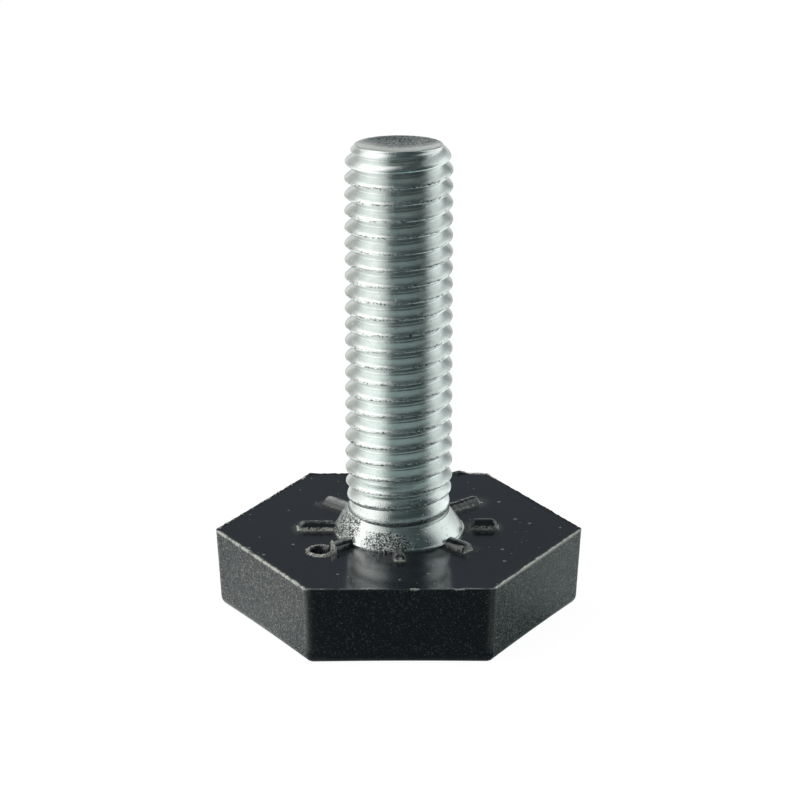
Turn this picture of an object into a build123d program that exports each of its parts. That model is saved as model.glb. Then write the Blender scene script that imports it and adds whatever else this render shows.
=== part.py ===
"""Shelf leveling foot: a zinc-plated M8 stud moulded into a black hexagonal plastic base.

Millimetres, +Z up, the origin on the floor under the stud, two corners of the hexagon on the X axis.
"""
import os
from math import radians, tan

from build123d import *

# Base
hex_sides = 6
hex_across_flats = 24.0
base_height = 6.0
side_draft = 3.5
corner_radius = 0.5
bottom_edge_radius = 0.8

# Ribs on top of the base, round the stud
rib_count = 8
rib_width = 1.2
rib_height = 0.5
rib_end_d = 15.2

# Stud above the base
stud_projection = 30.5
thread_d = 8.0
thread_pitch = 1.25
flank_angle = 30.0
depth_share = 5 / 8
groove_over = 0.1
end_d = 6.6
lead_length = 1.2
rim_width = 0.25
dish_depth = 0.3
runout_length = 2.0
neck_d = 7.4
flare_d = 9.9
flare_height = 2.1
flare_band = 0.35

# Head of the stud, buried in the plastic
head_across_flats = 13.0
floor_cover = 1.5
top_cover = 1.5

# Heights along the stud
head_top = base_height - top_cover
flare_foot = base_height + flare_band
flare_top = base_height + flare_height
stud_top = base_height + stud_projection
thread_top = stud_top - lead_length

# Metric thread: depth_share of the height of the sharp profile lies between major and minor diameter
thread_r = thread_d / 2
neck_r = neck_d / 2
flare_r = flare_d / 2
end_r = end_d / 2
flank_slope = tan(radians(flank_angle))
thread_depth = depth_share * thread_pitch / 2 / flank_slope
groove_half = thread_depth * flank_slope
crest_flat = thread_pitch - 2 * groove_half
turns = int((thread_top - flare_top - runout_length) / thread_pitch)
thread_bottom = thread_top - turns * thread_pitch - crest_flat
neck_top = thread_bottom - (thread_r - neck_r) * flank_slope

# Grooves, cut past the crest by groove_over along their flanks
groove_heights = [thread_top - crest_flat - groove_half - turn * thread_pitch for turn in range(turns)]
mouth_half = groove_half + groove_over * flank_slope

# Ribs start inside the flare, which trims them
rib_r = rib_width / 2
rib_length = rib_end_d / 2 - neck_r
rib_axis_height = base_height + rib_height - rib_r

with BuildPart() as threaded_stud:
    # Hexagonal head, so that the stud can't turn in the plastic
    with BuildSketch(Plane.XY.offset(floor_cover)):
        RegularPolygon(head_across_flats / 2, hex_sides, major_radius=False)
    extrude(amount=head_top - floor_cover)
    # Collar, flare, neck and thread, with one ring-shaped V groove for each turn of the thread
    with BuildSketch(Plane.XZ):
        with BuildLine():
            Polyline(
                (0, stud_top - dish_depth),
                (end_r - rim_width, stud_top),
                (end_r, stud_top),
                (thread_r, thread_top),
                (thread_r, thread_bottom),
                (neck_r, neck_top),
                (neck_r, flare_top),
                (flare_r, flare_foot),
                (flare_r, head_top),
                (0, head_top),
                close=True,
            )
        make_face()
        with Locations(*[(thread_r, height) for height in groove_heights]):
            Polygon(
                (groove_over, -mouth_half),
                (groove_over, mouth_half),
                (-thread_depth, 0),
                align=None,
                mode=Mode.SUBTRACT,
            )
    revolve(axis=Axis.Z)
threaded_stud.part.label = "threaded_stud"

with BuildPart() as hex_base:
    # Hexagon that narrows towards the floor, with a rounded lower edge and softened corners
    with BuildSketch():
        RegularPolygon(hex_across_flats / 2, hex_sides, major_radius=False)
    extrude(amount=base_height)
    draft(hex_base.faces().filter_by(Axis.Z, reverse=True), Plane.XY.offset(base_height), -side_draft)
    fillet(hex_base.faces().sort_by(Axis.Z)[0].edges(), bottom_edge_radius)
    fillet(hex_base.edges().group_by(Axis.Z)[-2], corner_radius)
    # Round-backed ribs like the spokes of a wheel
    with PolarLocations(0, rib_count):
        with Locations((neck_r, 0, rib_axis_height)):
            Cylinder(rib_r, rib_length, rotation=(0, 90, 0), align=(Align.CENTER, Align.CENTER, Align.MIN))
    # Pocket that the plastic keeps round the head, the collar and the foot of the flare
    add(threaded_stud.part, mode=Mode.SUBTRACT)
hex_base.part.label = "hex_base"

os.makedirs("parts", exist_ok=True)
export_step(threaded_stud.part, "parts/threaded_stud.step")
export_step(hex_base.part, "parts/hex_base.step")
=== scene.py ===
"""Visual model of a shelf leveling foot: a zinc-plated threaded stud moulded into a black hexagonal base.

Lengths are in metres, +Z is up and the origin lies on the floor under the stud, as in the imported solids.
"""
import math

import bpy
import numpy as np
from bpy.props import FloatProperty, FloatVectorProperty, PointerProperty
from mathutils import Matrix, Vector


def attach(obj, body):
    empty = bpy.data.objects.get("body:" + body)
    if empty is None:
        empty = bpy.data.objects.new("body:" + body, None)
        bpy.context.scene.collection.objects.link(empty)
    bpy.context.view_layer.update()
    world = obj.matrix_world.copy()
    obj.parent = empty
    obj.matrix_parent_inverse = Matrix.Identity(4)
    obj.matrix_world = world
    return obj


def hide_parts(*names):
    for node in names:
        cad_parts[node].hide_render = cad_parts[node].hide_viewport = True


bl_info = {
    "name": "Shelf leveling foot",
    "version": (1, 0, 0),
    "blender": (4, 5, 0),
    "location": "View3D > Sidebar > Leveling foot",
    "description": "Builds a threaded stud in a hexagonal plastic base, and the stage that shows them",
    "category": "Object",
}

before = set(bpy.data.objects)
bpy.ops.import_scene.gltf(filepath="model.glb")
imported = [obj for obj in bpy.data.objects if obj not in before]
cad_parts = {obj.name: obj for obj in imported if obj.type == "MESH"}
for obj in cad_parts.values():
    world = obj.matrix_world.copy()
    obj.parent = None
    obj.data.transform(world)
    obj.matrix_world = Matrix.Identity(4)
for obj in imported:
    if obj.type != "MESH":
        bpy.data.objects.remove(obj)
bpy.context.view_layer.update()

MM = 0.001
TURN = 2 * math.pi
QUARTER = math.pi / 2
SIDES = 6
SIDE_DEGREES = 360 / SIDES

# Points round the stud, and rings on its end, its rim, its lead, its thread, its flare and the flare's lip
STUD_COLUMNS = 144
END_RINGS = 18
RIM_RINGS = 5
LEAD_RINGS = 51
THREAD_RINGS = 569
FLARE_RINGS = 21
LIP_RINGS = 5

# Points round the base, and how much they crowd at its corners
BASE_COLUMNS = 900
CROWDING = 0.5
# Rings in the base's pocket, among its ribs and on its foot
POCKET_RINGS = 4
RIB_RINGS = 50
FOOT_RINGS = 9
# Rings between the ribs and the edge, by what is left of the way to the edge
EDGE_STEPS = (0.75, 0.5, 0.3, 0.18, 0.1, 0.06, 0.035, 0.02, 0.01, 0)
# Rings of the sides, by their distance in mm under the top edge
SIDE_DROPS = (0.04, 0.1, 0.18, 0.3, 0.8, 1.6, 2.4, 3.2, 4.0, 4.7)
# Rings of the underside, by their share of the way out to the foot
UNDERSIDE_STEPS = (0.8, 0.4, 0)
# Edges of the base that are sharper than this, in degrees, are shaded as edges
SHARP_DEGREES = 50


def length(label, note, millimetres):
    """A length property with its default given in millimetres."""
    return FloatProperty(name=label, description=note, default=millimetres * MM, unit="LENGTH", precision=5)


def angle(label, note, degrees):
    """An angle property with its default given in degrees."""
    radians = math.radians(degrees)
    return FloatProperty(name=label, description=note, default=radians, subtype="ANGLE", unit="ROTATION")


def ratio(label, note, value):
    """A property that holds a share from 0 to 1."""
    return FloatProperty(name=label, description=note, default=value, min=0, max=1, subtype="FACTOR")


def point(label, note, millimetres):
    """A property that holds a place, with its default given in millimetres."""
    metres = [value * MM for value in millimetres]
    return FloatVectorProperty(name=label, description=note, default=metres, subtype="XYZ", unit="LENGTH")


def colour(label, note, rgb):
    """A linear colour property."""
    return FloatVectorProperty(name=label, description=note, default=rgb, subtype="COLOR", min=0, max=1)


class StudSizes(bpy.types.PropertyGroup):
    """Sizes of the zinc-plated stud."""

    top: length("End height", "Height of the middle of the stud's end above the floor", 36.15)
    end_tilt: angle("End tilt", "Lean of the sheared end towards the rear", 5.2)
    crest_radius: length("Crest radius", "Radius over the thread's crests", 3.99)
    depth: length("Thread depth", "Depth of the thread from crest to root", 0.8)
    pitch: length("Pitch", "Rise of the thread in one turn", 1.25)
    crest_height: length("Crest height", "Height of a crest on the +X side", 34.2)
    crest_round: ratio("Crest rounding", "Rounding of the crest as a share of half a pitch", 0.24)
    root_round: ratio("Root rounding", "Rounding of the root as a share of half a pitch", 0.06)
    end_radius: length("End radius", "Radius of the end inside its rounded rim", 3.12)
    end_edge: length("End edge", "Rounding of the end's rim", 0.18)
    lead: length("Lead", "Length over which the crests are cut back near the end", 1.2)
    lead_foot: length("Lead foot", "Height under which the rings of the mesh are level", 34.4)
    end_soft: length("End softness", "Softness between the lead and the thread", 0.07)
    dish_radius: length("Dish radius", "Radius of the hollow in the end", 3.05)
    dish_depth: length("Dish depth", "Depth of the hollow in the end", 0.4)
    neck_radius: length("Neck radius", "Radius of the blank under the thread", 3.8)
    runout_low: length("Run-out foot", "Height where the thread would have faded out", 7.0)
    runout_high: length("Run-out head", "Height above which the thread is full", 11.2)
    squeeze: ratio("Squeeze", "Rise of the last turns as a share of the pitch", 0.2)
    squeeze_start: length("Squeeze start", "Distance under the run-out's head where the rise begins", 0.5)
    squeeze_end: length("Squeeze end", "Distance under the run-out's head where the rise is full", 1.8)
    skew: ratio("Skew", "Rise of the last roots as a share of the pitch", 0.3)
    flare_top: length("Flare top", "Mean height where the flare leaves the neck", 7.8)
    flare_slant: length("Flare slant", "Rise and fall of the flare's top round the stud", 0.3)
    flare_high: angle("Flare high side", "Where round the stud the flare's top is highest", 120)
    flare_bulge: length("Flare bulge", "Bulge of the flare between its ends", 0.07)
    flare_foot: length("Flare foot", "Height of the flare's widest part", 6.14)
    flare_lip: length("Flare lip", "Rounding of the flare's foot", 0.12)
    flare_radius: length("Flare radius", "Radius of the flare at the plastic", 4.93)
    collar: length("Collar", "Height of the collar's upper ring inside the plastic", 5.9)
    head_radius: length("Head half width", "Half the head's width across flats", 6.48)
    head_corner: length("Head corner", "Rounding of the head's corners", 0.4)
    head_top: length("Head top", "Height of the buried head's upper face", 4.48)
    head_foot: length("Head foot", "Height of the buried head's underside", 1.52)


class BaseSizes(bpy.types.PropertyGroup):
    """Sizes of the moulded base."""

    apothem: length("Half width", "Half the width across flats at the top edge", 11.93)
    height: length("Height", "Height of the top face above the floor", 6.0)
    draft: angle("Draft", "Lean of the sides towards the foot", 3.5)
    corner_radius: length("Corner radius", "Rounding of the upright corners", 0.4)
    foot_radius: length("Foot radius", "Rounding of the lower edge", 0.75)
    rib_reach: length("Rib reach", "Radius out to which the finely drawn ring of ribs goes", 8.7)
    hole_radius: length("Hole radius", "Radius of the plastic round the stud's collar", 4.95)
    pocket_radius: length("Pocket half width", "Half the width across flats of the head's pocket", 6.5)
    pocket_corner: length("Pocket corner", "Rounding of the pocket's corners", 0.4)
    pocket_top: length("Pocket top", "Height of the pocket's ceiling", 4.5)
    pocket_foot: length("Pocket foot", "Height of the pocket's floor", 1.5)


class Finishes(bpy.types.PropertyGroup):
    """Colours of the metal, of the plastic and of the floor."""

    zinc: colour("Zinc", "Bright zinc plating", (0.83, 0.86, 0.85))
    plastic: colour("Plastic", "Black moulded plastic", (0.012, 0.0125, 0.019))
    fleck: colour("Flash", "Torn edges of the moulding", (0.92, 0.91, 0.83))
    # Colours of painted highlights: along the ribs' backs, and along the upright corners of the base
    painted_highlight: colour("Painted highlight on ribs", "Painted highlight on backs of the ribs", (0.85, 0.85, 0.83))
    corner: colour("Painted highlight on corners", "Painted highlight on upright corners of the base", (0.3, 0.3, 0.3))
    # Colour of painted glints: pale cells in the grain of the sides
    painted_glints: colour("Sparkle", "Glints in the grain of the sides", (0.9, 0.9, 0.86))
    floor: colour("Floor", "Floor under the foot", (0.1, 0.1, 0.1))
    floor_seen: colour("Floor seen", "Floor as the camera sees it", (0.97, 0.97, 0.97))
    # Painted glow of the floor, seen only in reflections: its colour near the foot and far from it
    near_floor_glow: colour("Near floor", "Floor beside the foot in a reflection", (0.30, 0.41, 0.40))
    far_floor_glow: colour("Far floor", "Floor away from the foot in a reflection", (0.026, 0.036, 0.036))


class StageSizes(bpy.types.PropertyGroup):
    """Place of the camera and size of the floor."""

    distance: length("Camera distance", "From the camera to the pivot", 320.4)
    elevation: angle("Camera elevation", "Height of the camera above the horizon", 19.85)
    azimuth: angle("Camera azimuth", "Turn of the camera round the foot", -0.39)
    pivot: point("Pivot", "Place that the camera is turned round", (0, 0, 15))
    aim: point("Aim", "Place in the middle of the picture", (0.094, 0.425, 16.178))
    lens: FloatProperty(name="Lens", description="Focal length in mm", default=193.75, unit="CAMERA")
    sensor: FloatProperty(name="Sensor", description="Width of the sensor in mm", default=36, unit="CAMERA")
    clip_start: length("Clip start", "Nearest distance that the camera sees", 10)
    clip_end: length("Clip end", "Farthest distance that the camera sees", 20000)
    floor_reach: length("Floor reach", "Half the width of the floor", 3000)
    # Distances over which the floor's painted glow fades from its near to its far colour
    near_reach: length("Near reach", "Distance up to which the near floor's colour holds", 40)
    far_reach: length("Far reach", "Distance from which the far floor's colour holds", 85)


def ramp(x, low, high):
    """Smooth step from 0 at low to 1 at high."""
    t = np.clip((x - low) / (high - low), 0, 1)
    return t * t * (3 - 2 * t)


def bell(x, middle, spread, power=2):
    """Bell with 1 in the middle: e to minus the distance, counted in spreads and raised to the power."""
    return np.exp(-(((x - middle) / spread) ** power))


def soft_min(a, b, k):
    """The smaller of a and b, with the corner between them rounded by about k."""
    return (a + b - np.sqrt((a - b) ** 2 + k * k)) / 2


def scatter(i, j):
    """A fixed pseudo-random number from 0 to 1 for each pair of whole numbers."""
    return np.modf(np.abs(np.sin(i * 12.9898 + j * 78.233) * 43758.5453))[0]


def grain(x, y, size):
    """Smooth random field from 0 to 1.

    Scattered values on a square lattice of that size are blended between the lattice's corners.
    """
    i, j = np.floor(x / size), np.floor(y / size)
    u, v = x / size - i, y / size - j
    u, v = u * u * (3 - 2 * u), v * v * (3 - 2 * v)
    low = scatter(i, j) * (1 - u) + scatter(i + 1, j) * u
    high = scatter(i, j + 1) * (1 - u) + scatter(i + 1, j + 1) * u
    return low * (1 - v) + high * v


def hexagon(turn, apothem, corner_radius):
    """Radius of a hexagon with rounded corners at each angle.

    A straight side is the apothem over the cosine of the angle from the side's middle. Near a corner, up to
    where the two touch, the circle of that corner's rounding holds.
    """
    half = TURN / SIDES / 2
    from_corner = (turn + half) % (2 * half) - half
    centre = (apothem - corner_radius) / math.cos(half)
    reach = np.sqrt(np.maximum(corner_radius**2 - (centre * np.sin(from_corner)) ** 2, 0))
    rounded = centre * np.cos(from_corner) + reach
    straight = apothem / np.cos(half - np.abs(from_corner))
    touch = math.atan2(corner_radius * math.sin(half), centre + corner_radius * math.cos(half))
    return np.where(np.abs(from_corner) < touch, rounded, straight)


def skin(name, turn, radius, height):
    """Closed mesh through rings of points: radius and height are given for each ring and each angle.

    Rings follow one another with the material on their left, and neighbours are joined by quads. The first
    and the last ring lie on the axis and are closed by fans of triangles.
    """
    rings, columns = radius.shape
    inner = slice(1, rings - 1)
    points = np.stack((radius * np.cos(turn), radius * np.sin(turn), height), axis=2)[inner].reshape(-1, 3)
    poles = [(0, 0, height[0, 0]), (0, 0, height[-1, 0])]
    points = np.concatenate((points, poles))
    first, last = len(points) - 2, len(points) - 1
    ring = np.arange((rings - 2) * columns).reshape(rings - 2, columns)
    after = np.roll(ring, -1, axis=1)
    quads = np.stack((ring[:-1], ring[1:], after[1:], after[:-1]), axis=2).reshape(-1, 4)
    start = np.stack((np.full(columns, first), ring[0], after[0]), axis=1)
    end = np.stack((ring[-1], np.full(columns, last), after[-1]), axis=1)
    mesh = bpy.data.meshes.new(name)
    mesh.from_pydata(points.tolist(), [], quads.tolist() + start.tolist() + end.tolist())
    if mesh.validate():
        raise RuntimeError(f"{name} has faces that do not close")
    mesh.polygons.foreach_set("use_smooth", np.ones(len(mesh.polygons), bool))
    piece = bpy.data.objects.new(name, mesh)
    bpy.context.scene.collection.objects.link(piece)
    return piece


def paint(piece, name, values):
    """Stores one number per point of a skinned mesh; the two points on the axis get 0."""
    data = piece.data.attributes.new(name, "FLOAT", "POINT").data
    data.foreach_set("value", np.append(values[1:-1].ravel(), (0, 0)))


def from_crest(turn, height, stud):
    """Distance along the stud from the nearest crest of the helix, from 0 on the crest to 1 in the root.

    The root lies midway between two crests. In the run-out the turns are pushed up by a share of the pitch,
    and the root moves up under the next crest, so that the last turns are thin lips.
    """
    full_rise = stud.runout_high - stud.squeeze_end
    pushed = stud.squeeze * ramp(height, stud.runout_high - stud.squeeze_start, full_rise)
    above = ((height - stud.crest_height) / stud.pitch - turn / TURN - pushed) % 1
    root = 0.5 + stud.skew * ramp(height, stud.runout_high, full_rise)
    return np.where(above < root, above / root, (1 - above) / (1 - root))


def thread_radius(turn, height, stud):
    """Radius of the stud's side: a hyperbola on both sides of a crest that climbs one pitch a turn.

    The crest is the hyperbola's round top and the root a sharp valley between two of its arms. Towards the
    neck the crest sinks to the blank and the fall fades.
    """
    down = 1 - np.hypot(1 - from_crest(turn, height, stud), stud.root_round)
    blunt = stud.crest_round
    fall = (np.hypot(down, blunt) - blunt) / (math.hypot(1, blunt) - blunt)
    full = ramp(height, stud.runout_low, stud.runout_high)
    crest = stud.neck_radius + (stud.crest_radius - stud.neck_radius) * full
    return crest - stud.depth * full * fall


def flare_edge(turn, stud):
    """Height where the flare leaves the neck: its mean and one cosine wave round the stud."""
    return stud.flare_top + stud.flare_slant * np.cos(turn - stud.flare_high)


def stud_rings(stud, turn):
    """Rings of the stud, as radius and height, from the middle of its end down to the middle of its head.

    The end is a tilted plane with a shallow bowl in it and a rounded rim, the lead a parabola that the thread
    cuts where it lies deeper. Then come the thread, the flare as a slightly bulging cone with a rounded lip,
    the collar inside the plastic, and the head as a hexagon.
    """
    rows, around = np.s_[:, None], np.ones_like(turn)
    slope = math.tan(stud.end_tilt) * np.sin(turn)
    out = np.linspace(0, 1, END_RINGS)[rows] * stud.end_radius * around
    dish = stud.dish_depth * np.clip(1 - (out / stud.dish_radius) ** 2, 0, 1)
    bend = np.linspace(0, QUARTER, RIM_RINGS + 1)[1:][rows]
    rim = stud.end_radius + stud.end_edge * np.sin(bend) * around
    rim_height = stud.top - slope * rim - stud.end_edge * (1 - np.cos(bend))
    sink = np.linspace(0, 1, LEAD_RINGS + 1)[1:][rows]
    lead_height = rim_height[-1] + (stud.lead_foot - rim_height[-1]) * sink
    sunk = np.clip((rim_height[-1] - lead_height) / stud.lead, 0, 1)
    lead = rim[-1] + (stud.crest_radius - rim[-1]) * (1 - (1 - sunk) ** 2)
    edge = flare_edge(turn, stud)
    side_height = np.linspace(stud.lead_foot, edge, THREAD_RINGS + 1)[1:]
    slide = np.linspace(0, 1, FLARE_RINGS + 1)[1:][rows]
    neck = thread_radius(turn, edge, stud)
    flare_wide = stud.flare_radius - stud.flare_lip
    flare = neck + (flare_wide - neck) * slide + stud.flare_bulge * np.sin(math.pi * slide)
    flare_height = edge + (stud.flare_foot + stud.flare_lip - edge) * slide
    roll = np.linspace(0, QUARTER, LIP_RINGS + 1)[1:][rows]
    collar = stud.flare_radius * around
    head = hexagon(turn, stud.head_radius, stud.head_corner)
    buried = np.array((stud.collar, stud.head_top, stud.head_top, stud.head_foot, stud.head_foot))
    radius = (
        out,
        soft_min(rim, thread_radius(turn, rim_height, stud), stud.end_soft * np.sin(bend)),
        soft_min(lead, thread_radius(turn, lead_height, stud), stud.end_soft),
        thread_radius(turn, side_height, stud),
        flare,
        (flare_wide + stud.flare_lip * np.sin(roll)) * around,
        np.stack((collar, collar, head, head, 0 * head)),
    )
    height = (
        stud.top - slope * out - dish,
        rim_height,
        lead_height,
        side_height,
        flare_height,
        (stud.flare_foot + stud.flare_lip * np.cos(roll)) * around,
        buried[rows] * around,
    )
    return np.concatenate(radius), np.concatenate(height)


# Stain on the front of the flare: middle and spread in degrees, heights in mm where it ends and is full
STAIN_MIDDLE = 257
STAIN_SPREAD = 24
STAIN_END = 7.5
STAIN_FULL = 7.1
# Stain on the left of the flare: cosines of the angle round the stud where it begins and where it is full
LEFT_STAIN = (-0.62, -0.8)
# Radius on which the stud's random field is wrapped round it, and the size of the field's patches, in mm
WRAP_RADIUS = 4
PATCH_SIZE = 0.5


def stud_roughness(stud, turn, radius, height):
    """Where the metal is rough, from 0 to 1.

    Stains on the flare have edges broken by a random field. Scuffs lie on the rear of the end. A seam,
    stronger in some patches, runs along the crests of the thread.
    """
    edge = flare_edge(turn, stud)
    patch = grain(turn * WRAP_RADIUS * MM, height, PATCH_SIZE * MM)
    stain = bell(np.degrees(turn), STAIN_MIDDLE, STAIN_SPREAD)
    stain = stain * ramp(height, STAIN_END * MM, STAIN_FULL * MM) + ramp(np.cos(turn), *LEFT_STAIN)
    stain = ramp(height, edge + 0.1 * MM, edge - 0.2 * MM) * ramp(stain + 0.4 * patch, 0.5, 1.0)
    on_end = (np.arange(len(radius)) < END_RINGS)[:, None]
    rearward = ramp(radius * np.sin(turn), -0.2 * MM, 1.2 * MM)
    rightward = ramp(radius * np.cos(turn), -2.4 * MM, -0.4 * MM)
    seam = ramp(from_crest(turn, height, stud), 0.2, 0.06) * (height > edge) * (height < stud.lead_foot)
    seam = seam * (0.25 + 0.35 * ramp(patch, 0.25, 0.6))
    return np.maximum.reduce((stain, 0.6 * on_end * rearward * rightward, seam))


# Ribs round the stud: angle in degrees, start, end, width and height in mm, roundness of the end,
# roughness, pale flash at the sides and at the tip, strength of the painted highlight along the back
RIBS = (
    (0, 5.35, 7.45, 1.1, 0.66, 1.0, 0.0, 0.66, 0.8, 0.15),
    (42, 0, 8.2, 1.0, 0.52, 1.0, 0.15, 0.66, 0.9, 0.2),
    (90, 0, 7.6, 1.2, 0.5, 0.0, 0.0, 0.2, 0.4, 0.2),
    (135, 0, 7.6, 1.2, 0.52, 0.0, 0.1, 0.3, 0.6, 1.0),
    (181, 0, 7.6, 1.05, 0.58, 0.7, 0.2, 0.72, 0.9, 0.15),
    (224, 0, 6.95, 1.1, 0.65, 0.0, 0.0, 0.2, 0.4, 0.5),
    (270, 0, 6.8, 0.9, 0.55, 0.3, 0.0, 0.5, 0.75, 0.4),
    (316, 0, 7.1, 1.15, 0.65, 0.4, 0.0, 0.1, 0.8, 1.0),
)
# How far the middle of the ring of ribs lies behind the stud's axis, in mm
RIBS_BACK = 0.42
# Pit with a torn lip, from the middle of the ribs: x, y, half widths along x and y, depth, all in mm
PIT = (-5.85, -4.75, 0.72, 0.85, 0.75)
# Lengths in mm over which a rib rises at its start and falls at its end
RIB_RISE = 0.3
RIB_FALL = 0.08
# Spread of the flash along a rib's sides and at its tip, and of the dust beside and beyond it, in mm
SIDE_FLASH = 0.07
TIP_FLASH = 0.08
DUST_BESIDE = 0.5
DUST_BEYOND = 0.7
# How far a rough rib's end wanders and its back is shaken, each with the size of its random field, in mm
RAGGED_END = 0.5
RAGGED_SIZE = 0.4
SHAKE = 0.3
SHAKE_SIZE = 0.16
# Size of the random field that breaks up the painted highlight along a rib's back, and height of the pit's
# lip, in mm
HIGHLIGHT_BREAK_SIZE = 0.22
LIP_HEIGHT = 0.14


def rib_marks(x, y, rib):
    """Height over the top face, pale flash, painted highlight along the back and dust of one rib.

    The rib is a half round along its spoke, cut off flat or rounded like a pill at its outer end, and shaken
    by a random field where it is rough. Its flash is a bell across its side lines and across its tip, its
    painted highlight a bell beside its ridge, and its dust half a bell outwards from its sides.
    """
    degrees, start, end, width, crown, pill, rough, side, tip, highlight_strength = rib
    spoke, half, begin = math.radians(degrees), width * MM / 2, start * MM
    along = x * math.cos(spoke) + y * math.sin(spoke)
    across = -x * math.sin(spoke) + y * math.cos(spoke)
    stop = end * MM + rough * RAGGED_END * MM * (grain(x, y, RAGGED_SIZE * MM) - 0.5)
    away = np.hypot(across, pill * np.maximum(along - stop + half, 0))
    inside = ramp(along, begin, begin + RIB_RISE * MM) * (1 - ramp(along, stop - RIB_FALL * MM, stop))
    arch = np.sqrt(np.maximum(half**2 - away**2, 0)) - half + crown * MM
    shake = rough * SHAKE * MM * (grain(x, y, SHAKE_SIZE * MM) - 0.5)
    body = (np.maximum(arch, 0) + shake) * (away < half) * inside
    skirt = bell(away, half, SIDE_FLASH * MM) * (along > begin) * (along < stop)
    cap = bell(along, stop + 0.02 * MM, TIP_FLASH * MM) * (np.abs(across) < half)
    beyond = ramp(along, begin - DUST_BEYOND * MM, begin) * ramp(along, stop + DUST_BEYOND * MM, stop)
    dust = bell(np.maximum(away, half), half, DUST_BESIDE * MM) * beyond * (body <= 0)
    torn = rough * inside * (away < half)
    flash = np.maximum.reduce((side * skirt, tip * cap, torn, (0.34 + 0.2 * side) * dust))
    # Painted highlight: a pale band just beside the ridge, broken up by a random field
    painted_highlight = highlight_strength * bell(across / half, 0.15, 0.26) * inside * (0.4 + 0.6 * grain(x, y, HIGHLIGHT_BREAK_SIZE * MM))
    return body, flash, painted_highlight, dust


def top_marks(x, y):
    """Height over the top face, pale flash, painted highlights along the backs and dust of all ribs and of
    the pit beside one.

    Where the marks of ribs meet, the strongest holds. The pit is an oval bowl with a raised, torn lip and
    grit round it.
    """
    y = y - RIBS_BACK * MM
    relief, flash, painted_highlight, dust = np.zeros((4, *x.shape))
    for rib in RIBS:
        rib_body, rib_flash, rib_painted_highlight, rib_dust = rib_marks(x, y, rib)
        relief = np.where(np.abs(rib_body) > np.abs(relief), rib_body, relief)
        flash = np.maximum(flash, rib_flash)
        painted_highlight = np.maximum(painted_highlight, rib_painted_highlight)
        dust = np.maximum(dust, rib_dust)
    pit_x, pit_y, half_x, half_y, depth = (value * MM for value in PIT)
    reach = np.hypot((x - pit_x) / half_x, (y - pit_y) / half_y)
    bowl = ramp(reach, 1.0, 0.75)
    lip = bell(reach, 1.2, 0.15)
    relief = relief * (1 - bowl) - depth * bowl + lip * LIP_HEIGHT * MM * (0.5 + grain(x, y, 0.2 * MM))
    torn = lip * (0.35 + 0.65 * grain(x, y, 0.25 * MM))
    grit = 0.6 * bell(reach, 1.35, 0.4)
    return relief, np.maximum.reduce((flash * (1 - bowl), torn, grit)), painted_highlight, dust


# Angles in degrees where sides of the base start, and how far the marks of two sides blend at a corner
REAR_LEFT = 120
LEFT = 180
FRONT = 240
RIGHT = 300
CORNER_BLEND = 2
# Gate mark on the rear edge, chips beside it and the pale stretch round both: middle and spread in degrees
GATE = (68.2, 2.4)
CHIPS = (58, 4)
PALE_STRETCH = (61, 9)
# Burr on the edge of the left and right front sides, as its least height and what the random fields add, and
# what they add in front and behind, in mm
LEFT_BURR = (0.03, 0.16)
RIGHT_BURR = (0.03, 0.06)
FRONT_BURR = 0.08
REAR_BURR = 0.12
# Heights of the gate mark and of the chips in mm
GATE_HEIGHT = 0.2
CHIP_HEIGHT = 0.12
# Sizes of the burr's fine and coarse random fields in degrees
FINE_SIZE = 1.1
COARSE_SIZE = 5.0


def on_side(degrees, start):
    """1 on the side that starts at that angle and 0 on the others, with a smooth step at its corners."""
    end = start + SIDE_DEGREES
    opened = ramp(degrees, start - CORNER_BLEND, start + CORNER_BLEND)
    return opened * ramp(degrees, end + CORNER_BLEND, end - CORNER_BLEND)


def edge_burr(turn):
    """Height of the burr along the top edge and its paleness, by the angle round the stud.

    The burr is the product of a fine and a coarse random field. It is strongest on the left front side, a
    thin line on the right front side, blotchy in front and slight behind, with a gate mark and chips on the
    rear edge.
    """
    degrees = np.degrees(turn) % 360
    fine = grain(degrees, 0 * degrees, FINE_SIZE)
    coarse = grain(degrees, 0 * degrees + 7, COARSE_SIZE)
    lumps = fine * coarse
    left, front, right = (on_side(degrees, side) for side in (LEFT, FRONT, RIGHT))
    behind = 1 - np.clip(left + front + right, 0, 1)
    burr = left * (LEFT_BURR[0] + LEFT_BURR[1] * lumps) + right * (RIGHT_BURR[0] + RIGHT_BURR[1] * lumps)
    burr = burr + front * FRONT_BURR * lumps + behind * REAR_BURR * lumps
    scar = GATE_HEIGHT * bell(degrees, *GATE, power=4) + CHIP_HEIGHT * fine * bell(degrees, *CHIPS)
    pale = left * (0.55 + 0.7 * fine) + right * (0.8 + 0.3 * coarse)
    pale = pale + front * 0.8 * ramp(coarse, 0.35, 0.75) + behind * 0.3 * fine
    pale = pale + on_side(degrees, REAR_LEFT) * 0.5 * ramp(fine, 0.4, 0.8)
    return (burr + scar) * MM, np.maximum(pale, 0.8 * bell(degrees, *PALE_STRETCH, power=4))


def side_glint_strength(turn):
    """How strong the painted glints in the grain of each side are: a little weaker on the left front one, and
    faint in front, which paints the front side darker as shade.
    """
    degrees = np.degrees(turn) % 360
    return 0.58 - 0.08 * on_side(degrees, LEFT) - 0.56 * on_side(degrees, FRONT)


# Spread of the burr inwards from the top edge, and of its pale line with what a random field adds, in mm
BURR_SPREAD = 0.14
LINE_SPREAD = (0.14, 0.2)
# Bulge of the burr on the side under the edge, its spread downwards and that of its paleness, in mm
SIDE_BULGE = 0.04
BULGE_SPREAD = 0.1
FADE_SPREAD = 0.17
# Painted highlight along each rounded upright corner: spread in degrees and strength
CORNER_HIGHLIGHT_SPREAD = 1.2
CORNER_HIGHLIGHT = 0.5


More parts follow.
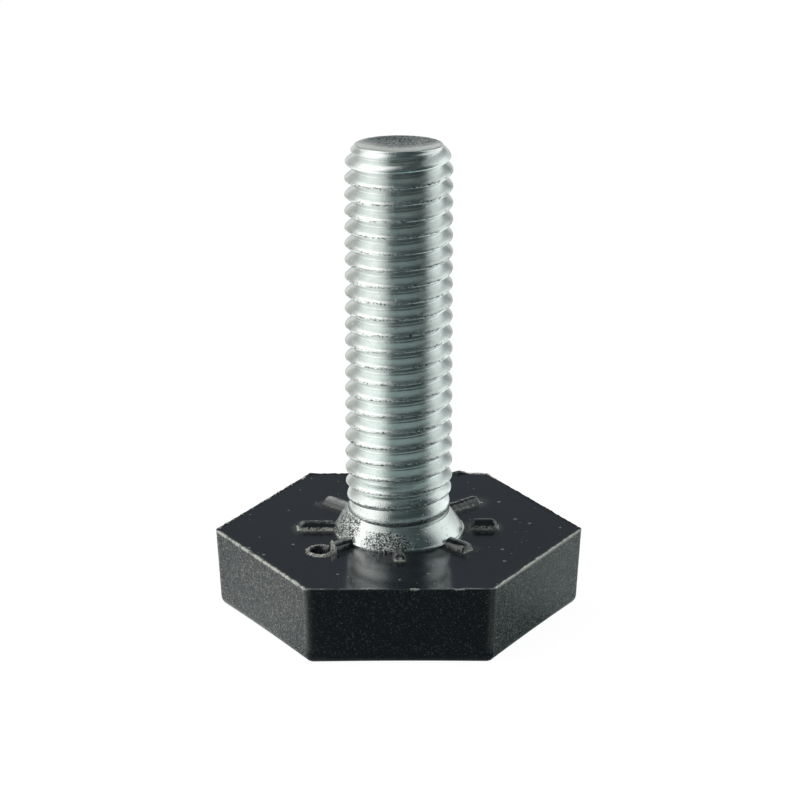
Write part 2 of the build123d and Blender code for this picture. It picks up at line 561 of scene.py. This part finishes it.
def base_rings(base, turn):
    """Rings of the base, as radius and height from the pocket over the top to the underside, and its marks.

    The top's rings are circles among the ribs and grow into the hexagon. The side narrows evenly towards the
    floor and ends in a quarter circle. Marks are pale flash, painted highlights along the ribs' backs and the
    upright corners, dust beside the ribs, and the strength of the painted glints in the grain of each side.
    """
    rows, around = np.s_[:, None], np.ones_like(turn)
    pocket = hexagon(turn, base.pocket_radius, base.pocket_corner)
    hole = base.hole_radius * around
    pocket_heights = np.array((base.pocket_foot, base.pocket_foot, base.pocket_top, base.pocket_top))
    edge = hexagon(turn, base.apothem, base.corner_radius)
    ring = np.linspace(base.hole_radius, base.rib_reach, RIB_RINGS)[rows] * around
    face = base.rib_reach + (edge - base.rib_reach) * (1 - np.array(EDGE_STEPS))[rows]
    top = np.concatenate((ring, face))
    relief, flash, painted_highlight, dust = top_marks(top * np.cos(turn), top * np.sin(turn))
    burr, pale = edge_burr(turn)
    top_height = base.height + relief + burr * bell(top, edge, BURR_SPREAD * MM)
    line = (LINE_SPREAD[0] + LINE_SPREAD[1] * grain(np.degrees(turn), 0 * turn, 1.7)) * MM
    flash = np.maximum(flash, pale * bell(top, edge, line))
    drop = np.array(SIDE_DROPS)[rows] * MM
    lean = math.tan(base.draft)
    side = edge + SIDE_BULGE * MM * pale * bell(drop, 0, BULGE_SPREAD * MM) - drop * lean
    fade = pale * bell(drop, 0, FADE_SPREAD * MM)
    from_corner = (np.degrees(turn) + SIDE_DEGREES / 2) % SIDE_DEGREES - SIDE_DEGREES / 2
    # Painted highlight: a pale stripe along each rounded upright corner of the side
    corner_highlights = CORNER_HIGHLIGHT * bell(from_corner, 0, CORNER_HIGHLIGHT_SPREAD) * np.ones_like(fade)
    roll = np.linspace(0, QUARTER, FOOT_RINGS)[rows]
    foot_edge = edge - (base.height - base.foot_radius) * lean
    foot = foot_edge - base.foot_radius * (1 - np.cos(roll))
    inward = np.array(UNDERSIDE_STEPS)[rows]
    radius = (np.stack((0 * hole, pocket, pocket, hole)), top, side, foot, foot[-1] * inward)
    height = (
        pocket_heights[rows] * around,
        top_height,
        (base.height - drop) * around,
        base.foot_radius * (1 - np.sin(roll)) * around,
        0 * inward * around,
    )
    before = np.zeros((POCKET_RINGS, len(turn)))
    below = np.zeros((FOOT_RINGS + len(UNDERSIDE_STEPS), len(turn)))
    marks = {
        "flash": np.concatenate((before, flash, fade, below)),
        # Painted highlights along the ribs' backs and along the upright corners
        "painted_highlight": np.concatenate((before, painted_highlight, corner_highlights, below)),
        "dust": np.concatenate((before, dust, 0 * fade, below)),
    }
    # Strength of the painted glints on each side; faint in front, which paints the front side darker as shade
    marks["grain"] = side_glint_strength(turn) * np.ones_like(marks["flash"])
    return np.concatenate(radius), np.concatenate(height), marks


class Shader:
    """A Principled material with a few nodes in front of it, wired by name."""

    def __init__(self, name):
        self.material = bpy.data.materials.new(name)
        self.material.use_nodes = True
        self.nodes = self.material.node_tree.nodes
        self.links = self.material.node_tree.links
        self.surface = self.nodes["Principled BSDF"]
        self.place = self.nodes.new("ShaderNodeTexCoord").outputs["Object"]

    def set(self, **values):
        """Sets sockets of the surface shader, with spaces in their names written as underscores."""
        for socket, value in values.items():
            self.surface.inputs[socket.replace("_", " ")].default_value = value

    def feed(self, socket, value):
        """Wires a node's output to a socket of the surface shader."""
        self.links.new(value, self.surface.inputs[socket])

    def noise(self, per_metre, detail):
        """Cloudy value from 0 to 1 with that many cells to the metre."""
        node = self.nodes.new("ShaderNodeTexNoise")
        node.inputs["Scale"].default_value = per_metre
        node.inputs["Detail"].default_value = detail
        self.links.new(self.place, node.inputs["Vector"])
        return node.outputs["Fac"]

    def lattice(self, per_metre):
        """Distance to the nearest point of a random lattice, and that point's number from 0 to 1."""
        node = self.nodes.new("ShaderNodeTexVoronoi")
        node.inputs["Scale"].default_value = per_metre
        self.links.new(self.place, node.inputs["Vector"])
        return node.outputs["Distance"], self.channel(node.outputs["Color"], "Red")

    def cells(self, per_metre):
        """A random number from 0 to 1 for each cell of a random lattice."""
        return self.lattice(per_metre)[1]

    def specks(self, per_metre, size, share):
        """1 on small round specks, in that share of the cells of a random lattice, and 0 elsewhere."""
        distance, number = self.lattice(per_metre)
        chosen = self.fit(number, 1 - share, 1 - share + 0.01)
        return self.join("MULTIPLY", self.fit(distance, size, size * 0.6), chosen)

    def channel(self, colour_out, name):
        """One channel of a colour."""
        node = self.nodes.new("ShaderNodeSeparateColor")
        self.links.new(colour_out, node.inputs["Color"])
        return node.outputs[name]

    def painted(self, name):
        """A number stored on the mesh."""
        node = self.nodes.new("ShaderNodeAttribute")
        node.attribute_name = name
        return node.outputs["Fac"]

    def fit(self, value, low, high, to_low=0.0, to_high=1.0):
        """The value, moved from low..high to to_low..to_high and kept there."""
        node = self.nodes.new("ShaderNodeMapRange")
        numbers = {"From Min": low, "From Max": high, "To Min": to_low, "To Max": to_high}
        for socket, number in numbers.items():
            node.inputs[socket].default_value = number
        self.links.new(value, node.inputs["Value"])
        return node.outputs["Result"]

    def join(self, how, a, b):
        """Two values put together by a sum, product or the like; b may be a number."""
        node = self.nodes.new("ShaderNodeMath")
        node.operation = how
        self.links.new(a, node.inputs[0])
        if isinstance(b, (int, float)):
            node.inputs[1].default_value = b
        else:
            self.links.new(b, node.inputs[1])
        return node.outputs[0]

    def mix(self, share, a, b):
        """Colour between a and b; each is a colour or another node's output."""
        node = self.nodes.new("ShaderNodeMix")
        node.data_type = "RGBA"
        self.links.new(share, node.inputs["Factor"])
        for socket, value in ((node.inputs[6], a), (node.inputs[7], b)):
            if isinstance(value, bpy.types.NodeSocket):
                self.links.new(value, socket)
            else:
                socket.default_value = (*value, 1)
        return node.outputs[2]

    def bump(self, value, depth, strength):
        """Fine relief of that depth in metres on the surface."""
        node = self.nodes.new("ShaderNodeBump")
        node.inputs["Distance"].default_value = depth
        node.inputs["Strength"].default_value = strength
        self.links.new(value, node.inputs["Height"])
        self.feed("Normal", node.outputs["Normal"])


def zinc_plating(finish):
    """Bluish-white zinc: metal with a soft gloss, finely speckled, and stippled where it is rough."""
    shader = Shader("zinc_plating")
    shader.set(Metallic=1.0)
    cloud = shader.noise(900, 3)
    fine = shader.noise(7000, 2)
    rough = shader.painted("rough")
    specks = shader.specks(5000, 0.3, 0.2)
    stipple = shader.join("LESS_THAN", shader.cells(14000), shader.join("MULTIPLY", rough, 0.6))
    bright, cloudy, dull = (tuple(level * part for part in finish.zinc) for level in (1, 0.9, 0.12))
    clean = shader.mix(shader.fit(cloud, 0.3, 0.7), cloudy, bright)
    shader.feed("Base Color", shader.mix(stipple, shader.mix(specks, clean, bright), dull))
    gloss = shader.fit(cloud, 0.3, 0.7, 0.18, 0.25)
    shader.feed("Roughness", shader.join("ADD", gloss, shader.join("MULTIPLY", rough, 0.25)))
    sand = shader.join("ADD", shader.noise(12000, 2), shader.join("MULTIPLY", fine, 0.4))
    relief = shader.join("MULTIPLY", sand, shader.fit(rough, 0.0, 1.0, 0.5, 1.2))
    shader.bump(shader.join("ADD", relief, shader.join("MULTIPLY", specks, 0.6)), 0.02 * MM, 1.0)
    return shader.material


def torn_flash(shader, fine):
    """Pale torn flash: where the flash painted on the mesh, broken up by a fine noise, is strong."""
    return shader.fit(shader.join("MULTIPLY", shader.painted("flash"), fine), 0.22, 0.40)


def smooth_plastic(finish, top):
    """Top of the base: black plastic with a soft gloss, a few specks, a painted highlight along the ribs'
    backs and pale torn flash.

    The ribs, which rise above the top face, have a little more gloss.
    """
    shader = Shader("smooth_plastic")
    shader.set(IOR=1.85)
    specks = shader.join("MAXIMUM", shader.specks(900, 0.16, 0.14), shader.specks(2400, 0.2, 0.07))
    torn = torn_flash(shader, shader.noise(7000, 2))
    pale = shader.join("MAXIMUM", torn, shader.join("MULTIPLY", specks, 0.3))
    # Painted highlight along the ribs' backs, mixed into the black plastic
    plain = shader.mix(shader.painted("painted_highlight"), finish.plastic, finish.painted_highlight)
    shader.feed("Base Color", shader.mix(pale, plain, finish.fleck))
    height = shader.channel(shader.place, "Blue")
    gloss = shader.fit(height, top + 0.03 * MM, top + 0.12 * MM, 0.13, 0.1)
    dusty = shader.fit(shader.painted("dust"), 0.0, 1.0, 0.0, 0.35)
    matt = shader.join("MAXIMUM", shader.fit(pale, 0.0, 0.5, 0.0, 0.4), dusty)
    shader.feed("Roughness", shader.join("ADD", gloss, matt))
    shader.bump(shader.noise(500, 2), 0.004 * MM, 0.4)
    return shader.material


def grained_plastic(finish):
    """Sides of the base: black plastic with a fine grain, painted glints in it, a painted highlight along the
    upright corners and pale torn flash.
    """
    shader = Shader("grained_plastic")
    shader.set(IOR=1.45, Specular_IOR_Level=0.25)
    fine = shader.noise(9000, 3)
    # Painted glints: pale cells mixed into the colour, strong where the painted strength is high, and a few
    # faint lone ones everywhere
    glint = shader.join("POWER", shader.fit(shader.cells(10500), 0.3, 1.0), 3.0)
    lone_glints = shader.fit(shader.cells(14000), 0.88, 1.0, 0.0, 0.2)
    painted_glints = shader.join("MAXIMUM", shader.join("MULTIPLY", glint, shader.painted("grain")), lone_glints)
    # Painted highlight along the upright corners, mixed into the black plastic
    smooth = shader.mix(shader.painted("painted_highlight"), finish.plastic, finish.corner)
    grained = shader.mix(painted_glints, smooth, finish.painted_glints)
    shader.feed("Base Color", shader.mix(torn_flash(shader, fine), grained, finish.fleck))
    shader.feed("Roughness", shader.fit(fine, 0.3, 0.7, 0.55, 0.35))
    shader.bump(fine, 0.05 * MM, 0.7)
    return shader.material


# Soft lights of the surroundings: direction, share of the height that counts (small for a tall light),
# angles in degrees from the direction up to which the light is full and at which it ends, colour
LIGHTS = (
    ((-0.967, -0.254, 0.0), 0.35, 10, 53, (1.26, 1.26, 1.23)),
    ((0.935, 0.355, 0.0), 0.35, 12, 41, (0.9, 0.95, 0.93)),
    ((-0.68, 0.73, 0.0), 0.4, 14, 38, (0.42, 0.42, 0.40)),
    ((0.64, 0.77, 0.0), 0.4, 12, 34, (0.14, 0.15, 0.15)),
    ((0.0, 1.0, 0.0), 2.5, 20, 40, (0.62, 0.61, 0.57)),
    ((0.0, 0.94, 0.34), 1.0, 10, 36, (0.074, 0.074, 0.086)),
    ((-0.45, 0.28, 0.85), 1.0, 10, 30, (1.25, 1.25, 1.22)),
    ((-0.15, -0.65, 0.74), 1.0, 8, 38, (0.065, 0.078, 0.078)),
)
# The floor carries on the four tall lights, and a wide one behind
FLOOR_LIGHTS = LIGHTS[:4] + (((0.0, 1.0, 0.0), 1.0, 20, 60, (0.4, 0.4, 0.4)),)
AMBIENT = (0.037, 0.054, 0.055)
DARK = (0, 0, 0)


def lights_seen(nodes, links, place, lights, ambient):
    """Light that comes from a direction: each light fades out between two angles from its own direction."""
    total = None
    for direction, upright, inner, outer, rgb in lights:
        squeezed = nodes.new("ShaderNodeVectorMath")
        squeezed.operation = "MULTIPLY"
        squeezed.inputs[1].default_value = (1, 1, upright)
        links.new(place, squeezed.inputs[0])
        unit = nodes.new("ShaderNodeVectorMath")
        unit.operation = "NORMALIZE"
        links.new(squeezed.outputs["Vector"], unit.inputs[0])
        toward = nodes.new("ShaderNodeVectorMath")
        toward.operation = "DOT_PRODUCT"
        toward.inputs[1].default_value = Vector(direction).normalized()
        links.new(unit.outputs["Vector"], toward.inputs[0])
        share = nodes.new("ShaderNodeMapRange")
        share.inputs["From Min"].default_value = math.cos(math.radians(outer))
        share.inputs["From Max"].default_value = math.cos(math.radians(inner))
        links.new(toward.outputs["Value"], share.inputs["Value"])
        added = nodes.new("ShaderNodeVectorMath")
        added.operation = "MULTIPLY_ADD"
        links.new(share.outputs["Result"], added.inputs[0])
        added.inputs[1].default_value = rgb
        added.inputs[2].default_value = ambient
        if total:
            links.new(total, added.inputs[2])
        total = added.outputs["Vector"]
    return total


def white_floor(finish, stage):
    """Pale floor that keeps the foot's shadow.

    The camera sees it lifted to white. A reflection sees light painted on it: the lights that stand beside
    the foot carried on across it, and a glow that is brighter near the foot than far from it.
    """
    shader = Shader("white_floor")
    shader.set(Base_Color=(*finish.floor, 1), Roughness=1.0, Specular_IOR_Level=0.0)
    rays = shader.nodes.new("ShaderNodeLightPath").outputs
    distance = shader.nodes.new("ShaderNodeVectorMath")
    distance.operation = "LENGTH"
    shader.links.new(shader.place, distance.inputs[0])
    far = shader.fit(distance.outputs["Value"], stage.near_reach, stage.far_reach)
    around = shader.nodes.new("ShaderNodeVectorMath")
    around.operation = "ADD"
    carried = lights_seen(shader.nodes, shader.links, shader.place, FLOOR_LIGHTS, DARK)
    shader.links.new(carried, around.inputs[0])
    # Painted light: in reflections the floor glows with the carried-on lights and a glow brighter near the
    # foot
    shader.links.new(shader.mix(far, finish.near_floor_glow, finish.far_floor_glow), around.inputs[1])
    seen = shader.mix(rays["Is Camera Ray"], around.outputs["Vector"], finish.floor_seen)
    shader.feed("Emission Color", seen)
    mirrored = shader.join("MAXIMUM", rays["Is Glossy Ray"], rays["Is Transmission Ray"])
    shader.feed("Emission Strength", shader.join("MAXIMUM", rays["Is Camera Ray"], mirrored))
    return shader.material


class FOOT_OT_stud(bpy.types.Operator):
    """Builds the zinc-plated stud with its thread, dished end, neck, flare and buried head"""

    bl_idname = "foot.make_stud"
    bl_label = "Threaded stud"

    def execute(self, context):
        sizes = context.scene.foot_stud
        turn = np.linspace(0, TURN, STUD_COLUMNS, endpoint=False)
        radius, height = stud_rings(sizes, turn)
        stud = skin("stud", turn, radius, height)
        paint(stud, "rough", stud_roughness(sizes, turn, radius, height))
        stud.data.materials.append(zinc_plating(context.scene.foot_finish))
        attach(stud, "root")
        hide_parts("threaded_stud")
        return {"FINISHED"}


class FOOT_OT_base(bpy.types.Operator):
    """Builds the hexagonal plastic base with its ribs, torn flash and grained sides"""

    bl_idname = "foot.make_base"
    bl_label = "Hexagonal base"

    def execute(self, context):
        sizes = context.scene.foot_base
        finish = context.scene.foot_finish
        even = np.linspace(0, TURN, BASE_COLUMNS, endpoint=False)
        turn = even - CROWDING * np.sin(SIDES * even) / SIDES
        radius, height, marks = base_rings(sizes, turn)
        base = skin("base", turn, radius, height)
        for name, values in marks.items():
            paint(base, name, values)
        base.data.materials.append(smooth_plastic(finish, sizes.height))
        base.data.materials.append(grained_plastic(finish))
        # Bands of quads from the side's first ring down are grained, the fans at the end of the list smooth
        band = np.arange(len(base.data.polygons)) // len(turn)
        top_rings = POCKET_RINGS + RIB_RINGS + len(EDGE_STEPS)
        grained = (band >= top_rings - 1) & (band < len(radius) - 3)
        base.data.polygons.foreach_set("material_index", grained.astype(np.int32))
        base.data.set_sharp_from_angle(angle=math.radians(SHARP_DEGREES))
        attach(base, "root")
        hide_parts("hex_base")
        return {"FINISHED"}


def studio_world(scene):
    """Dim surroundings with the studio's lights."""
    world = bpy.data.worlds.new("studio")
    world.use_nodes = True
    nodes, links = world.node_tree.nodes, world.node_tree.links
    place = nodes.new("ShaderNodeTexCoord").outputs["Generated"]
    links.new(lights_seen(nodes, links, place, LIGHTS, AMBIENT), nodes["Background"].inputs["Color"])
    scene.world = world


def studio_floor(scene):
    """Level square floor, left out of the part."""
    reach = scene.foot_stage.floor_reach
    mesh = bpy.data.meshes.new("floor")
    corners = [(-reach, -reach, 0), (reach, -reach, 0), (reach, reach, 0), (-reach, reach, 0)]
    mesh.from_pydata(corners, [], [(0, 1, 2, 3)])
    mesh.materials.append(white_floor(scene.foot_finish, scene.foot_stage))
    floor = bpy.data.objects.new("floor", mesh)
    scene.collection.objects.link(floor)


def studio_camera(scene):
    """Camera at its distance from the pivot, by elevation and azimuth, turned to its aim."""
    stage = scene.foot_stage
    data = bpy.data.cameras.new("camera")
    data.lens = stage.lens
    data.sensor_width = stage.sensor
    data.clip_start = stage.clip_start
    data.clip_end = stage.clip_end
    camera = bpy.data.objects.new("camera", data)
    side = Vector((math.sin(stage.azimuth), -math.cos(stage.azimuth), 0))
    back = side * math.cos(stage.elevation) + Vector((0, 0, math.sin(stage.elevation)))
    camera.location = Vector(stage.pivot) + back * stage.distance
    camera.rotation_mode = "QUATERNION"
    camera.rotation_quaternion = (Vector(stage.aim) - camera.location).to_track_quat("-Z", "Y")
    scene.collection.objects.link(camera)
    scene.camera = camera


class FOOT_OT_stage(bpy.types.Operator):
    """Builds the floor, the surroundings with their soft lights, and the camera"""

    bl_idname = "foot.make_stage"
    bl_label = "Stage"

    def execute(self, context):
        studio_floor(context.scene)
        studio_world(context.scene)
        studio_camera(context.scene)
        context.scene.view_settings.view_transform = "Standard"
        return {"FINISHED"}


class FOOT_PT_panel(bpy.types.Panel):
    """Lists the pieces of the foot and their sizes"""

    bl_idname = "FOOT_PT_panel"
    bl_label = "Leveling foot"
    bl_space_type = "VIEW_3D"
    bl_region_type = "UI"
    bl_category = "Leveling foot"

    def draw(self, context):
        for operator, group in (
            (FOOT_OT_stud, context.scene.foot_stud),
            (FOOT_OT_base, context.scene.foot_base),
            (FOOT_OT_stage, context.scene.foot_stage),
        ):
            self.layout.operator(operator.bl_idname)
            for name in group.__annotations__:
                self.layout.prop(group, name)
        for name in Finishes.__annotations__:
            self.layout.prop(context.scene.foot_finish, name)


GROUPS = {"foot_stud": StudSizes, "foot_base": BaseSizes, "foot_finish": Finishes, "foot_stage": StageSizes}
CLASSES = (*GROUPS.values(), FOOT_OT_stud, FOOT_OT_base, FOOT_OT_stage, FOOT_PT_panel)


def register():
    """Adds the classes, and their settings to the scene."""
    for cls in CLASSES:
        bpy.utils.register_class(cls)
    for name, group in GROUPS.items():
        setattr(bpy.types.Scene, name, PointerProperty(type=group))


def unregister():
    """Takes the settings and the classes away again."""
    for name in GROUPS:
        delattr(bpy.types.Scene, name)
    for cls in reversed(CLASSES):
        bpy.utils.unregister_class(cls)


def main():
    """Builds the foot and its stage."""
    register()
    bpy.ops.foot.make_stud()
    bpy.ops.foot.make_base()
    bpy.ops.foot.make_stage()
    bpy.context.view_layer.update()


if __name__ == "__main__":
    main()
